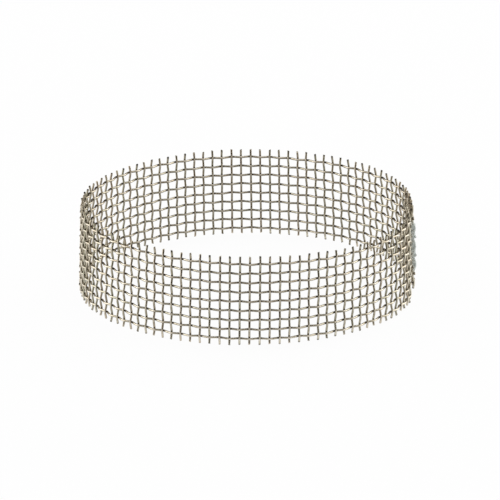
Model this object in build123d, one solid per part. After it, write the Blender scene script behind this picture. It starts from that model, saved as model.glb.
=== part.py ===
from build123d import *
from math import atan2, cos, degrees, floor, pi, radians, sin, sqrt
import os

# Vent insect screen: a strip of plain-woven steel wire cloth, rolled up into an open ring.
# Millimetres, +Z up. The ring stands on the cut lower ends of its upright wires.

# Wire cloth
wire_diameter = 0.55
upright_pitch = 2.54          # along the strip, ten meshes to the inch
ring_wire_pitch = 2.48        # up the strip, a little closer than along it
ring_wire_count = 9
bottom_free_end = 1.6         # of the uprights, below the lowest ring wire
top_free_end = 1.9            # of the uprights, above the highest ring wire
side_free_end = 1.3           # of the ring wires, before the first upright

# Ring that the strip is rolled into
inside_diameter = 83.0        # where the turn begins; it widens by one layer on the way round
seam_overlap = 8.2            # of the strip's outer end over its inner end
inner_end_azimuth = 8.0       # degrees from +X towards +Y

# Clearances
crossing_clearance = 0.02     # between two wires where they cross
layer_clearance = 0.06        # between the two layers of cloth at the seam

# Sizes that follow
cloth_thickness = 3 * wire_diameter + 2 * crossing_clearance
crimp = wire_diameter + crossing_clearance
screen_height = bottom_free_end + (ring_wire_count - 1) * ring_wire_pitch + top_free_end
first_radius = (inside_diameter + cloth_thickness) / 2
growth = (cloth_thickness + layer_clearance) / (2 * pi)


def length_up_to(angle):
    """Length of the strip's middle line that a roll through this angle, in radians, takes up."""
    return first_radius * angle + growth * angle**2 / 2


def angle_after(length):
    """Angle of the roll, in radians, after this length of the strip's middle line."""
    return (sqrt(first_radius**2 + 2 * growth * length) - first_radius) / growth


strip_length = length_up_to(2 * pi) + seam_overlap
upright_count = floor((strip_length - 2 * side_free_end) / upright_pitch) + 1


def on_roll(length, outward=0.0):
    """Point of the rolled strip at a length from its inner end, moved outward from the middle line."""
    angle = angle_after(length)
    radius = first_radius + growth * angle + outward
    azimuth = radians(inner_end_azimuth) - angle
    return Vector(radius * cos(azimuth), radius * sin(azimuth))


def upright_place(column):
    """Length from the strip's inner end to an upright."""
    return side_free_end + column * upright_pitch


def crimp_at(row, column):
    """Plain weave: a ring wire goes outside one upright and inside the next, and alternates by row."""
    return crimp if (row + column) % 2 == 0 else -crimp


def ring_wire(row):
    """One wire round the ring, bent at each upright that it crosses, with both ends cut free."""
    bends = [(upright_place(column), crimp_at(row, column)) for column in range(upright_count)]
    middle = [(0, 0)] + bends + [(strip_length, 0)]
    outer_edge = [on_roll(length, bend + wire_diameter / 2) for length, bend in middle]
    inner_edge = [on_roll(length, bend - wire_diameter / 2) for length, bend in middle]
    outline = make_face(Polyline(*outer_edge, *reversed(inner_edge), close=True))
    underside = bottom_free_end + row * ring_wire_pitch - wire_diameter / 2
    return Pos(0, 0, underside) * extrude(outline, wire_diameter)


def upright_wire(column):
    """One straight wire of the full height, an edge of its six sides facing outward to seat in the bends."""
    foot = on_roll(upright_place(column))
    turned = Rot(0, 0, degrees(atan2(foot.Y, foot.X)))
    return Pos(foot) * turned * extrude(RegularPolygon(wire_diameter / 2, 6), screen_height)


def screen():
    """All wires of the ring by name, with the middle of the ring's outline over the origin."""
    wires = {f"ring_wire_{row + 1}": [ring_wire(row)] for row in range(ring_wire_count)}
    wires["upright_wires"] = [upright_wire(column) for column in range(upright_count)]
    outline = Compound([wire for group in wires.values() for wire in group]).bounding_box()
    to_origin = Pos(-outline.center().X, -outline.center().Y, 0)
    return {name: [to_origin * wire for wire in group] for name, group in wires.items()}


os.makedirs("parts", exist_ok=True)
for name, group in screen().items():
    shape = group[0] if len(group) == 1 else Compound(group)
    export_step(shape, f"parts/{name}.step")
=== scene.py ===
import math

import bpy
import numpy as np
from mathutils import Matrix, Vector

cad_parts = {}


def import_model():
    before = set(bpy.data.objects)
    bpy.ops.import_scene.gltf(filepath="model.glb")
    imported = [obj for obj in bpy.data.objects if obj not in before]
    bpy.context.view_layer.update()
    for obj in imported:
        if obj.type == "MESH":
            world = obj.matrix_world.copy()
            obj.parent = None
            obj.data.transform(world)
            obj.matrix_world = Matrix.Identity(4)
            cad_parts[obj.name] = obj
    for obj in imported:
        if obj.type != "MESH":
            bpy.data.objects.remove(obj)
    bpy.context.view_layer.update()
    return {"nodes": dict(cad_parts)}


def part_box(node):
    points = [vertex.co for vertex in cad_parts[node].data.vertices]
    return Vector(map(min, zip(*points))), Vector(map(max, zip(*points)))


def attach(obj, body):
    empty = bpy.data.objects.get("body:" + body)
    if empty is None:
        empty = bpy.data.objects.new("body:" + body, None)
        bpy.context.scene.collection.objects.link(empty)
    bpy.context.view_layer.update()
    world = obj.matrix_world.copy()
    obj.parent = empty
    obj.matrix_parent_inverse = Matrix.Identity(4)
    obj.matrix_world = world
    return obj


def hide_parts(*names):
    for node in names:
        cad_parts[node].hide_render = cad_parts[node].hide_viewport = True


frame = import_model()

SEED = 20
chance = np.random.default_rng(SEED)

# Metres from millimetres
MM = 0.001

# Wire cloth
WIRE = 0.55 * MM
RING_CRIMP = 0.33 * MM        # a ring wire leaves the cloth's middle by this much where it crosses
UPRIGHT_CRIMP = 0.23 * MM     # and an upright wire by this much, on the other side
PITCH = 2.54 * MM
FIRST_UPRIGHT = 1.3 * MM      # from the strip's inner cut end
LAST_STUB = 0.3 * MM          # of the ring wires beyond the last upright, at the outer cut end
SHARPNESS = 0.93              # of the bends: near 0 is a sine wave, 1 a zigzag
LEAN = 0.21 * MM              # the cloth is rolled a little askew: top of an upright against its foot
COLUMNS = 110

# Roll at half height. Angles run clockwise from +X, seen from above, and each wave is
# (count round the ring, size, angle of a crest in degrees)
MEAN_RADIUS = 43.28 * MM
GROWTH = 0.25 * MM            # of the radius in one turn
LOBES = ((2, 0.286 * MM, -80.6), (3, 0.134 * MM, 39.3), (4, 0.113 * MM, 31.8), (5, 0.065 * MM, -30.8))
INNER_END = math.radians(-6.92)

# Lengths along the strip are worked out from a little before its start to a little past its end
BEFORE_START = 0.1            # radians
PAST_TURN = 0.5               # radians beyond one turn
ANGLE_STEPS = 6001

# The hand-rolled ring is wider at its foot, its rows aren't level and its cut ends aren't even
TAPER = 0.35 * MM             # of the radius, from the foot to the top
TAPER_WAVES = ((2, 0.307 * MM, -22.3),)
ROW_RISE = ((1, 0.163 * MM, 165.9), (2, 0.167 * MM, -19.4), (3, 0.084 * MM, 0.0))
TOP_CUT = ((1, 0.269 * MM, -175.6), (2, 0.233 * MM, -38.6))
BOTTOM_CUT = ((1, 0.144 * MM, 169.2), (2, 0.064 * MM, 18.8), (3, 0.06 * MM, 25.0))

# Seam: the doubled cloth is a little flat, the inner end is tucked under the outer one, and the
# outer one's middle rows stand off. Each is whole up to one reach and gone at the next
FLAT = 0.45 * MM
FLAT_WHOLE = math.radians(6)
FLAT_GONE = math.radians(20)
TUCK = 0.97 * MM
TUCK_WHOLE = 9.0 * MM         # from the inner end
TUCK_GONE = 16.0 * MM
LIFT = 0.45 * MM
LIFT_REACH = 13.0 * MM        # from the outer end
LIFT_WHOLE = 5.1 * MM         # above and below half height
LIFT_GONE = 8.2 * MM

# Small irregularities of a hand-rolled cloth
STRAY_ALONG = 0.05 * MM       # an upright from its place along the strip
STRAY_CUT = 0.08 * MM         # a cut end from its height, at most twice this
STRAY_ROW = 0.04 * MM         # a ring wire's wander up and down
WANDER_COUNTS = (7, 13, 24)   # bends of that wander along the strip
WANDER_SUM = 1.5              # what their sum is divided by
MOST_SLANT = math.tan(math.radians(24))    # of a cut end

# Mesh detail
SIDES = 12
STEPS_PER_PITCH = 10
END_CHAMFER = 0.04 * MM
END_DOME = 0.4 * END_CHAMFER

ring_nodes = sorted(name for name in frame["nodes"] if name.startswith("ring_wire_"))
ROWS = len(ring_nodes)
row_heights = [(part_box(node)[0][2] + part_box(node)[1][2]) / 2 for node in ring_nodes]
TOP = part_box("upright_wires")[1][2]
ROW_PITCH = (row_heights[-1] - row_heights[0]) / (ROWS - 1)
MIDDLE_HEIGHT = (row_heights[0] + row_heights[-1]) / 2
STRIP = FIRST_UPRIGHT + (COLUMNS - 1) * PITCH + LAST_STUB


def smooth_step(share):
    """0 below 0, 1 above 1 and a smooth rise between."""
    held = np.clip(share, 0, 1)
    return held * held * (3 - 2 * held)


def rise(value, start, length):
    """0 up to a start and 1 from a length beyond it."""
    return smooth_step((value - start) / length)


def fade(value, whole, gone):
    """1 as far as the one value and 0 from the other."""
    return smooth_step((gone - value) / (gone - whole))


def waves(angle, parts):
    """Sum of slow waves round the ring."""
    return sum(size * np.cos(count * (angle - math.radians(crest))) for count, size, crest in parts)


def free_radius(angle):
    """Radius of the cloth's middle at half height, before the seam's tuck and lift."""
    from_seam = np.abs((angle + math.pi) % (2 * math.pi) - math.pi)
    flat = FLAT * fade(from_seam, FLAT_WHOLE, FLAT_GONE)
    return MEAN_RADIUS + waves(angle, LOBES) - flat + GROWTH * (angle - math.pi) / (2 * math.pi)


# Length along the strip at each angle, by small steps
ANGLES = np.linspace(INNER_END - BEFORE_START, INNER_END + 2 * math.pi + PAST_TURN, ANGLE_STEPS)
RADII = free_radius(ANGLES)
STEP_LENGTHS = np.hypot(np.gradient(RADII, ANGLES), RADII) * (ANGLES[1] - ANGLES[0])
LENGTHS = np.cumsum(STEP_LENGTHS)
LENGTHS -= np.interp(INNER_END, ANGLES, LENGTHS)


def angle_at(length):
    return np.interp(length, LENGTHS, ANGLES)


def tuck(length):
    """How far the inner end is pushed in under the outer one."""
    return TUCK * fade(length, TUCK_WHOLE, TUCK_GONE)


def lift(length, height):
    """How far the outer end stands off, most at the strip's end and at half height."""
    along = smooth_step((length - STRIP + LIFT_REACH) / LIFT_REACH)
    return LIFT * along * fade(np.abs(height - MIDDLE_HEIGHT), LIFT_WHOLE, LIFT_GONE)


def on_roll(length, outward, height):
    """Points on the rolled strip: along it, outward from its middle and up."""
    angle = angle_at(length)
    taper = (TAPER + waves(angle, TAPER_WAVES)) * (height / TOP - 0.5)
    radius = free_radius(angle) - taper - tuck(length) + lift(length, height) + outward
    return np.stack([radius * np.cos(angle), -radius * np.sin(angle), height + 0 * radius], axis=-1)


def wave(turns):
    """The crimp of a woven wire: +1 at whole even turns, -1 at odd ones, straighter between than a sine."""
    return np.arcsin(SHARPNESS * np.cos(math.pi * turns)) / math.asin(SHARPNESS)


def unit(vectors):
    return vectors / np.linalg.norm(vectors, axis=-1, keepdims=True)


def wire_tube(path, side, slants):
    """Vertices and faces of a round wire along a path, with slanted, slightly chamfered cut ends."""
    along = unit(np.gradient(path, axis=0))
    across = unit(side - (side * along).sum(axis=1, keepdims=True) * along)
    third = np.cross(along, across)
    turn = np.arange(SIDES) * 2 * math.pi / SIDES
    cosine, sine = np.cos(turn)[None, :, None], np.sin(turn)[None, :, None]
    rims = path[:, None, :] + WIRE / 2 * (cosine * across[:, None, :] + sine * third[:, None, :])
    layers = [rims]
    for end, slant in ((0, slants[0]), (-1, slants[1])):
        rims[end] += slant * WIRE / 2 * cosine[0] * along[end]
        inward = path[end] - rims[end]
        outwards = along[end] if end else -along[end]
        inner_rim = rims[end] + END_CHAMFER * unit(inward) + END_DOME * outwards
        layers = [inner_rim[None]] + layers if end == 0 else layers + [inner_rim[None]]
    vertices = np.concatenate(layers).reshape(-1, 3)
    loops = len(vertices) // SIDES
    start = np.arange(loops - 1)[:, None] * SIDES
    here, beside = np.arange(SIDES), (np.arange(SIDES) + 1) % SIDES
    quads = np.stack([start + here, start + beside, start + SIDES + beside, start + SIDES + here], axis=-1)
    last = (loops - 1) * SIDES
    faces = quads.reshape(-1, 4).tolist() + [list(range(SIDES))[::-1], list(range(last, last + SIDES))]
    return vertices, faces


# Marks of the finish and of painted light, each (where it begins, how much further on it is whole). A bend
# is counted from the cloth's middle (0) to a crossing (1), and a side from the wire's free side (-1) to the
# side that touches the crossed wire (1)
# Painted highlight on the knuckles' outer crests, partly real rubbing
RUBBED_AND_HIGHLIGHT_BEND = (0.6, 0.3)
RUBBED_AND_HIGHLIGHT_FREE_SIDE = (0.4, 0.4)   # counted towards the free side
# Painted shade in the corners beside each crossing
RING_SHADE_BEND = (0.34, 0.45)
UPRIGHT_SHADE_BEND = (0.42, 0.45)
UPRIGHT_SHADE = 0.8           # share of a ring wire's painted shade
SHADE_SIDE = (-0.05, 0.35)
TOUCHING_SIDE = (0.6, 0.3)
TOUCHING_LESS_SHADE = 0.4        # where the wires touch there is less painted shade
HEATED_LIFT = (0.3, 0.5)      # shares of the whole lift of the outer end
STAINED_TINT = (0.3, 0.4)     # uprights of a higher tint have darker cut ends
CUT_STAIN = 0.5 * MM          # length of that stain


def heated(length, height):
    """1 where the outer end has been heated by its welding, 0 elsewhere."""
    return rise(lift(length, height) / LIFT, *HEATED_LIFT)


class Wire:
    """A wire's path, and at each of its points how far it's bent outward and how much it's heated."""

    def __init__(self, path, side, bend, heat, is_upright):
        self.path = path
        self.side = side
        self.bend = bend
        self.heat = heat
        self.is_upright = is_upright
        self.tint = chance.uniform(0, 1)
        self.slants = chance.uniform(-MOST_SLANT, MOST_SLANT, 2)


def wander(size, length):
    """A slow random wave along the strip."""
    phases = chance.uniform(0, 2 * math.pi, len(WANDER_COUNTS))
    return size * sum(np.sin(2 * math.pi * count * length / STRIP + phase)
                      for count, phase in zip(WANDER_COUNTS, phases)) / WANDER_SUM


def ring_wire(row):
    """A wire round the ring, outside even uprights on even rows and outside odd ones on odd rows."""
    steps = np.linspace(0, STRIP, int(STRIP / PITCH * STEPS_PER_PITCH))
    bend = wave(row + (steps - FIRST_UPRIGHT) / PITCH)
    height = row_heights[row] + waves(angle_at(steps), ROW_RISE) + wander(STRAY_ROW, steps)
    askew = LEAN * (row_heights[row] / TOP - 0.5)
    path = on_roll(steps - askew, RING_CRIMP * bend, height)
    return Wire(path, np.array([0.0, 0.0, 1.0]), bend, heated(steps, height), is_upright=False)


def upright_wire(column):
    """A wire from cut end to cut end, bent the other way than the ring wires that it crosses."""
    angle = angle_at(FIRST_UPRIGHT + column * PITCH)
    stray_bottom, stray_top = chance.normal(0, STRAY_CUT, 2).clip(-2 * STRAY_CUT, 2 * STRAY_CUT)
    bottom = waves(angle, BOTTOM_CUT) + stray_bottom
    top = TOP + waves(angle, TOP_CUT) + stray_top
    height = np.linspace(bottom, top, int(TOP / ROW_PITCH * STEPS_PER_PITCH))
    bend = wave(column + 1 + (height - row_heights[0] - waves(angle, ROW_RISE)) / ROW_PITCH)
    place = FIRST_UPRIGHT + column * PITCH - LEAN * (height / TOP - 0.5)
    place += chance.normal(0, STRAY_ALONG) + chance.normal(0, STRAY_ALONG) * (height / TOP - 0.5)
    path = on_roll(place, UPRIGHT_CRIMP * bend, height)
    side = np.array([-math.sin(angle), -math.cos(angle), 0.0])
    return Wire(path, side, bend, heated(place, height), is_upright=True)


def around(values):
    """Values at the points of a wire's path as values at its vertices."""
    return np.repeat(np.concatenate([values[:1], values, values[-1:]]), SIDES, axis=0)


def wire_marks(wire, vertices):
    """Marks at each vertex: painted highlight on the knuckles, partly real rubbing, painted shade beside a
    crossed wire, heat tint, cut stain and hue.
    """
    middle, bend = around(wire.path), around(wire.bend)
    outward = ((vertices - middle)[:, :2] * unit(middle[:, :2])).sum(axis=1) / (WIRE / 2)
    to_crossed = -np.sign(bend) * outward
    # Painted highlight, partly real rubbing, on the free side of the most bent parts
    rubbed_and_highlight = rise(np.abs(bend), *RUBBED_AND_HIGHLIGHT_BEND) * rise(-to_crossed, *RUBBED_AND_HIGHLIGHT_FREE_SIDE)
    # Painted shade in the corner beside a crossed wire, a little less where the wires touch
    in_corner = rise(to_crossed, *SHADE_SIDE) * (1 - TOUCHING_LESS_SHADE * rise(to_crossed, *TOUCHING_SIDE))
    most, corner_shade_bend = (UPRIGHT_SHADE, UPRIGHT_SHADE_BEND) if wire.is_upright else (1.0, RING_SHADE_BEND)
    travelled = np.cumsum(np.linalg.norm(np.diff(wire.path, axis=0, prepend=wire.path[:1]), axis=1))
    from_end = np.minimum(travelled, travelled[-1] - travelled)
    stained = wire.is_upright * rise(wire.tint, *STAINED_TINT)
    return {
        "rubbed_and_highlight": rubbed_and_highlight,
        "corner_shade": most * rise(np.abs(bend), *corner_shade_bend) * in_corner,
        "heated": around(wire.heat),
        "cut": stained * around(np.clip(1 - from_end / CUT_STAIN, 0, 1)),
        "tint": np.full(len(vertices), wire.tint),
    }


def add_wires(name, wires, shift):
    """One object of separate wires, with the marks of the finish, painted highlight and painted shade among
    them, stored on its points.
    """
    vertices, faces, marks, offset = [], [], [], 0
    for wire in wires:
        wire_vertices, wire_faces = wire_tube(wire.path, wire.side, wire.slants)
        vertices.append(wire_vertices)
        faces += [[index + offset for index in face] for face in wire_faces]
        offset += len(wire_vertices)
        marks.append(wire_marks(wire, wire_vertices))
    mesh = bpy.data.meshes.new(name)
    mesh.from_pydata((np.concatenate(vertices) - shift).tolist(), [], faces)
    for mark in marks[0]:
        values = np.concatenate([of_wire[mark] for of_wire in marks])
        mesh.attributes.new(mark, "FLOAT", "POINT").data.foreach_set("value", values)
    for polygon in mesh.polygons:
        is_cut_end = len(polygon.vertices) > 4
        polygon.use_smooth = not is_cut_end
    obj = bpy.data.objects.new(name, mesh)
    bpy.context.scene.collection.objects.link(obj)
    return obj


class Finish:
    """Short calls for a material's nodes."""

    def __init__(self, name):
        self.material = bpy.data.materials.new(name)
        self.material.use_nodes = True
        self.tree = self.material.node_tree
        self.shader = self.tree.nodes["Principled BSDF"]

    def link(self, source, target):
        self.tree.links.new(source, target)

    def mark(self, name):
        """A mark that is stored on the mesh."""
        node = self.tree.nodes.new("ShaderNodeAttribute")
        node.attribute_name = name
        return node.outputs["Fac"]

    def noise(self, scale, detail):
        node = self.tree.nodes.new("ShaderNodeTexNoise")
        node.inputs["Scale"].default_value = scale
        node.inputs["Detail"].default_value = detail
        self.link(self.tree.nodes.new("ShaderNodeTexCoord").outputs["Object"], node.inputs["Vector"])
        return node.outputs["Fac"]

    def ramp(self, factor, *stops):
        """Colours at places along a factor."""
        node = self.tree.nodes.new("ShaderNodeValToRGB")
        elements = node.color_ramp.elements
        for element, (place, colour) in zip(elements, stops):
            element.position = place
            element.color = (*colour, 1)
        self.link(factor, node.inputs["Fac"])
        return node.outputs["Color"]

    def mix(self, factor, first, second):
        node = self.tree.nodes.new("ShaderNodeMix")
        node.data_type = "RGBA"
        for value, socket in ((factor, "Factor_Float"), (first, "A_Color"), (second, "B_Color")):
            target = next(put for put in node.inputs if put.identifier == socket)
            if isinstance(value, bpy.types.NodeSocket):
                self.link(value, target)
            else:
                target.default_value = value
        return next(out for out in node.outputs if out.identifier == "Result_Color")

    def number(self, factor, low, high):
        """A factor from 0 to 1 turned into a number from low to high."""
        node = self.tree.nodes.new("ShaderNodeMapRange")
        node.inputs["To Min"].default_value = low
        node.inputs["To Max"].default_value = high
        self.link(factor, node.inputs["Value"])
        return node.outputs["Result"]

    def bump(self, height, distance):
        node = self.tree.nodes.new("ShaderNodeBump")
        node.inputs["Distance"].default_value = distance
        self.link(height, node.inputs["Height"])
        return node.outputs["Normal"]


# Steel wire colours, among them a painted highlight and a near black for cut stains and painted shade, and
# the share of the colour below that heat tint, painted shade and cut stain hide
BROWN_STEEL = (0.52, 0.425, 0.325)
GREEN_STEEL = (0.46, 0.445, 0.335)
PALE_STEEL = (0.68, 0.63, 0.525, 1)
# Painted highlight for the knuckles, partly real rubbing
KNUCKLE_WEAR_AND_HIGHLIGHT = (0.86, 0.80, 0.70, 1)
HEAT_TINT = (0.69, 0.75, 0.74, 1)
# Near black for the cut stains and for the painted shade beside the crossings
DARK_STAIN_AND_SHADE = (0.02, 0.015, 0.01, 1)
HEAT_HIDES = 0.85
SHADE_HIDES = 0.95
STAIN_HIDES = 0.8

# Steel wire surface
BLACK, WHITE = (0, 0, 0), (1, 1, 1)
BLOTCHES = (700, 4.0)         # noise cells in a metre, and its detail
BLOTCH_FROM, BLOTCH_WHOLE = 0.35, 0.75
SPECKLE = (3500, 2.0)
SMOOTHEST, ROUGHEST = 0.14, 0.30
WORN_ROUGHNESS = (0.45, 0.45, 0.45, 1)
HEAT_ROUGHENS = 0.8
HEATED_METALLIC = 0.4
DRAWING_MARKS = 0.006 * MM


def steel():
    """Drawn steel wire: uneven in colour, a painted highlight on the knuckles (partly real rubbing),
    painted shade beside them, blued at the seam.
    """
    finish = Finish("drawn_steel_wire")
    rubbed_and_highlight_share, heat = finish.mark("rubbed_and_highlight"), finish.mark("heated")
    hue = finish.ramp(finish.mark("tint"), (0.0, BROWN_STEEL), (1.0, GREEN_STEEL))
    blotches = finish.noise(*BLOTCHES)
    blotch_share = finish.ramp(blotches, (BLOTCH_FROM, BLACK), (BLOTCH_WHOLE, WHITE))
    uneven = finish.mix(blotch_share, hue, PALE_STEEL)
    # Painted highlight on the knuckles, partly real rubbing
    rubbed_and_highlight = finish.mix(rubbed_and_highlight_share, uneven, KNUCKLE_WEAR_AND_HIGHLIGHT)
    # Painted shade beside the crossings
    shaded = finish.mix(finish.number(finish.mark("corner_shade"), 0.0, SHADE_HIDES), rubbed_and_highlight, DARK_STAIN_AND_SHADE)
    blued = finish.mix(finish.number(heat, 0.0, HEAT_HIDES), shaded, HEAT_TINT)
    stained = finish.mix(finish.number(finish.mark("cut"), 0.0, STAIN_HIDES), blued, DARK_STAIN_AND_SHADE)
    finish.link(stained, finish.shader.inputs["Base Color"])
    finish.link(finish.number(heat, 1.0, HEATED_METALLIC), finish.shader.inputs["Metallic"])
    speckle = finish.noise(*SPECKLE)
    drawn = finish.number(speckle, SMOOTHEST, ROUGHEST)
    worn = finish.mix(rubbed_and_highlight_share, drawn, WORN_ROUGHNESS)
    dulled = finish.mix(finish.number(heat, 0.0, HEAT_ROUGHENS), worn, WORN_ROUGHNESS)
    finish.link(dulled, finish.shader.inputs["Roughness"])
    finish.link(finish.bump(speckle, DRAWING_MARKS), finish.shader.inputs["Normal"])
    return finish.material


ring_wires = [ring_wire(row) for row in range(ROWS)]
upright_wires = [upright_wire(column) for column in range(COLUMNS)]

# The middle of the ring's outline goes over the origin, and its lowest cut end just above the floor
outline = np.concatenate([wire.path for wire in ring_wires + upright_wires])
foot = outline[:, 2].min() - MOST_SLANT * WIRE / 2
shift = np.array([*(outline.min(axis=0) + outline.max(axis=0))[:2] / 2, foot])

metal = steel()
pieces = [(node + "_round", [wire], node) for node, wire in zip(ring_nodes, ring_wires)]
pieces += [("upright_wires_even", upright_wires[0::2], "upright_wires")]
pieces += [("upright_wires_odd", upright_wires[1::2], "upright_wires")]
for name, wires, node in pieces:
    piece = add_wires(name, wires, shift)
    piece.data.materials.append(metal)
    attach(piece, "root")
    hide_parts(node)


# Floor and world
FLOOR_SIZE = 12
FLOOR_SHOWN = (0.98, 0.98, 0.98, 1)
FLOOR_LIT = (0.80, 0.80, 0.80, 1)
FLOOR_GLOW = 0.94             # share of the shown floor that is white by itself, so its shadow is weak
WORLD_SHOWN = 1.0
WORLD_LIT = 0.6

# Softboxes, each (place, size, watts) in metres
LAMPS = {
    "overhead_softbox": ((0.2, 0.1, 1.6), 1.0, 3.0),
    "left_softbox": ((-1.15, 0.15, 0.5), 1.6, 5.9),
    "right_softbox": ((0.95, 0.7, 0.45), 1.6, 7.6),
}

# Profiles of cards round the object that only the steel mirrors. From the inside out, each point is
# (radius in metres, height in metres, brightness)
CARD_LIFT = 0.4 * MM
# The dim parts of the under, front and back cards that lie just over the floor near the ring are painted
# shade: the ring's shade on the floor, as the steel mirrors it
UNDER_PROFILE = ((0.001, CARD_LIFT, 0.36), (0.043, CARD_LIFT, 0.36))
FRONT_PROFILE = (
    (0.046, CARD_LIFT, 0.55), (0.12, CARD_LIFT, 0.58), (0.17, CARD_LIFT, 0.04), (2.2, CARD_LIFT, 0.03),
    (2.2, 0.85, 0.03), (2.2, 1.15, 0.40), (0.6, 1.6, 0.40),
)
BACK_PROFILE = (
    (0.046, CARD_LIFT, 0.49), (0.13, CARD_LIFT, 0.53), (0.17, CARD_LIFT, 0.04), (2.2, CARD_LIFT, 0.03),
    (2.2, 1.5, 0.03), (0.6, 1.6, 0.03),
)
SIDE_PROFILE = ((0.17, CARD_LIFT, 1.3), (2.2, CARD_LIFT, 1.5), (2.2, 1.5, 1.5), (0.8, 1.7, 1.3))

# Cards, each (profile, azimuth of its middle, degrees to each side of that)
CARDS = {
    "under_card": (UNDER_PROFILE, 0, 180),
    "front_card": (FRONT_PROFILE, -90, 65),
    "back_card": (BACK_PROFILE, 90, 50),
    "left_card": (SIDE_PROFILE, 177, 28),
    "right_card": (SIDE_PROFILE, 3, 28),
}
CARD_STEPS = 24
BROWN_CARD = (0.05, (1.0, 0.62, 0.42))     # brightness up to which a card is brown
GREY_CARD = (0.35, (1.0, 0.99, 0.93))      # and from which it's nearly grey


def white_seen(nodes, links, shown, lit):
    """Mix two shaders: one for what the camera and mirrors see, one for light on the object."""
    path = nodes.new("ShaderNodeLightPath")
    factor = path.outputs["Is Camera Ray"]
    for kind in ("Is Glossy Ray", "Is Transmission Ray"):
        either = nodes.new("ShaderNodeMath")
        either.operation = "MAXIMUM"
        links.new(factor, either.inputs[0])
        links.new(path.outputs[kind], either.inputs[1])
        factor = either.outputs[0]
    mix = nodes.new("ShaderNodeMixShader")
    links.new(factor, mix.inputs["Fac"])
    links.new(lit, mix.inputs[1])
    links.new(shown, mix.inputs[2])
    return mix.outputs[0]


def world():
    scene_world = bpy.data.worlds.new("studio")
    bpy.context.scene.world = scene_world
    scene_world.use_nodes = True
    nodes, links = scene_world.node_tree.nodes, scene_world.node_tree.links
    nodes.clear()
    lit = nodes.new("ShaderNodeBackground")
    lit.inputs["Strength"].default_value = WORLD_LIT
    shown = nodes.new("ShaderNodeBackground")
    shown.inputs["Strength"].default_value = WORLD_SHOWN
    for background in (lit, shown):
        background.inputs["Color"].default_value = (*WHITE, 1)
    out = nodes.new("ShaderNodeOutputWorld")
    links.new(white_seen(nodes, links, shown.outputs[0], lit.outputs[0]), out.inputs["Surface"])


def floor():
    bpy.ops.mesh.primitive_plane_add(size=FLOOR_SIZE, location=(0, 0, 0))
    plane = bpy.context.object
    plane.name = "floor"
    material = bpy.data.materials.new("pale_floor")
    material.use_nodes = True
    nodes, links = material.node_tree.nodes, material.node_tree.links
    nodes.clear()
    bright = nodes.new("ShaderNodeBsdfDiffuse")
    bright.inputs["Color"].default_value = FLOOR_SHOWN
    diffuse = nodes.new("ShaderNodeBsdfDiffuse")
    diffuse.inputs["Color"].default_value = FLOOR_LIT
    glow = nodes.new("ShaderNodeEmission")
    glow.inputs["Strength"].default_value = 1.0
    out = nodes.new("ShaderNodeOutputMaterial")
    both = nodes.new("ShaderNodeMixShader")
    both.inputs["Fac"].default_value = FLOOR_GLOW
    links.new(bright.outputs[0], both.inputs[1])
    links.new(glow.outputs[0], both.inputs[2])
    links.new(white_seen(nodes, links, both.outputs[0], diffuse.outputs[0]), out.inputs["Surface"])
    plane.data.materials.append(material)


def lamp(name, place, size, watts):
    """A square softbox that faces the object."""
    data = bpy.data.lights.new(name, "AREA")
    data.size = size
    data.energy = watts
    obj = bpy.data.objects.new(name, data)
    bpy.context.scene.collection.objects.link(obj)
    obj.location = place
    towards = -obj.location.normalized()
    obj.rotation_euler = towards.to_track_quat("-Z", "Y").to_euler()


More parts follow.
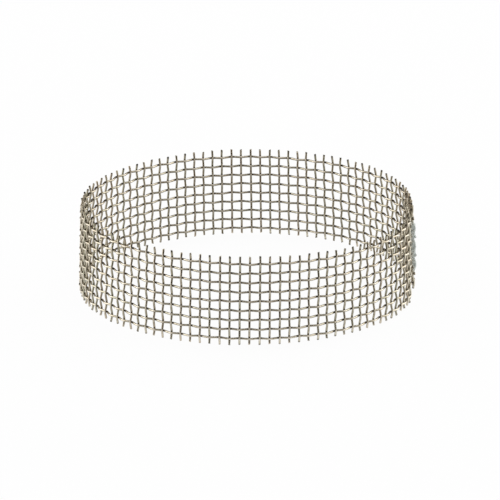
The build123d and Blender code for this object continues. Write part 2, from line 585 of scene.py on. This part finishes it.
def card(name, profile, facing, spread):
    """A card round the object, graded by its profile, that the camera doesn't see."""
    azimuths = np.radians(np.linspace(facing - spread, facing + spread, CARD_STEPS + 1))
    points = [(radius * math.cos(a), radius * math.sin(a), z) for radius, z, _ in profile for a in azimuths]
    loops = CARD_STEPS + 1
    faces = [(row * loops + k, row * loops + k + 1, (row + 1) * loops + k + 1, (row + 1) * loops + k)
             for row in range(len(profile) - 1) for k in range(CARD_STEPS)]
    mesh = bpy.data.meshes.new(name)
    mesh.from_pydata(points, [], faces)
    shades = np.repeat([brightness for _, _, brightness in profile], loops)
    mesh.attributes.new("shade", "FLOAT", "POINT").data.foreach_set("value", shades)
    obj = bpy.data.objects.new(name, mesh)
    bpy.context.scene.collection.objects.link(obj)
    obj.visible_camera = False
    obj.visible_shadow = False
    obj.visible_diffuse = False
    finish = Finish(name)
    finish.tree.nodes.remove(finish.shader)
    glow = finish.tree.nodes.new("ShaderNodeEmission")
    shade = finish.mark("shade")
    finish.link(finish.ramp(shade, BROWN_CARD, GREY_CARD), glow.inputs["Color"])
    finish.link(shade, glow.inputs["Strength"])
    finish.link(glow.outputs[0], finish.tree.nodes["Material Output"].inputs["Surface"])
    obj.data.materials.append(finish.material)


# Camera: far away with a long lens, as the photograph's almost parallel lines need
ELEVATION = math.radians(19.04)
DISTANCE = 1568.7 * MM
FOCAL_PIXELS = 6068
SENSOR = 36.0                 # millimetres, as Blender gives it
IMAGE_SIZE = 500
AXIS_PIXEL = (248.03, 245.35)
CAMERA_ROLL = math.radians(0.18)
FARTHEST_SEEN = 20


def camera(shift):
    """The camera, aimed so that the ring's middle is seen at the axis pixel."""
    data = bpy.data.cameras.new("camera")
    data.sensor_width = SENSOR
    data.lens = FOCAL_PIXELS * SENSOR / IMAGE_SIZE
    data.clip_end = FARTHEST_SEEN
    obj = bpy.data.objects.new("camera", data)
    bpy.context.scene.collection.objects.link(obj)
    per_pixel = DISTANCE / FOCAL_PIXELS
    right = (IMAGE_SIZE / 2 - AXIS_PIXEL[0]) * per_pixel
    down = (IMAGE_SIZE / 2 - AXIS_PIXEL[1]) * per_pixel
    back = np.array([0, -math.cos(ELEVATION), math.sin(ELEVATION)])
    above = np.array([0, math.sin(ELEVATION), math.cos(ELEVATION)])
    middle = np.array([0, 0, MIDDLE_HEIGHT]) - shift
    obj.location = middle + DISTANCE * back + right * np.array([1, 0, 0]) - down * above
    obj.rotation_mode = "XYZ"
    obj.rotation_euler = (math.pi / 2 - ELEVATION, 0, 0)
    obj.rotation_euler.rotate_axis("Z", -CAMERA_ROLL)
    bpy.context.scene.camera = obj


world()
floor()
for name, (profile, facing, spread) in CARDS.items():
    card(name, profile, facing, spread)
for name, (place, size, watts) in LAMPS.items():
    lamp(name, place, size, watts)
camera(shift)
bpy.context.scene.view_settings.view_transform = "Standard"
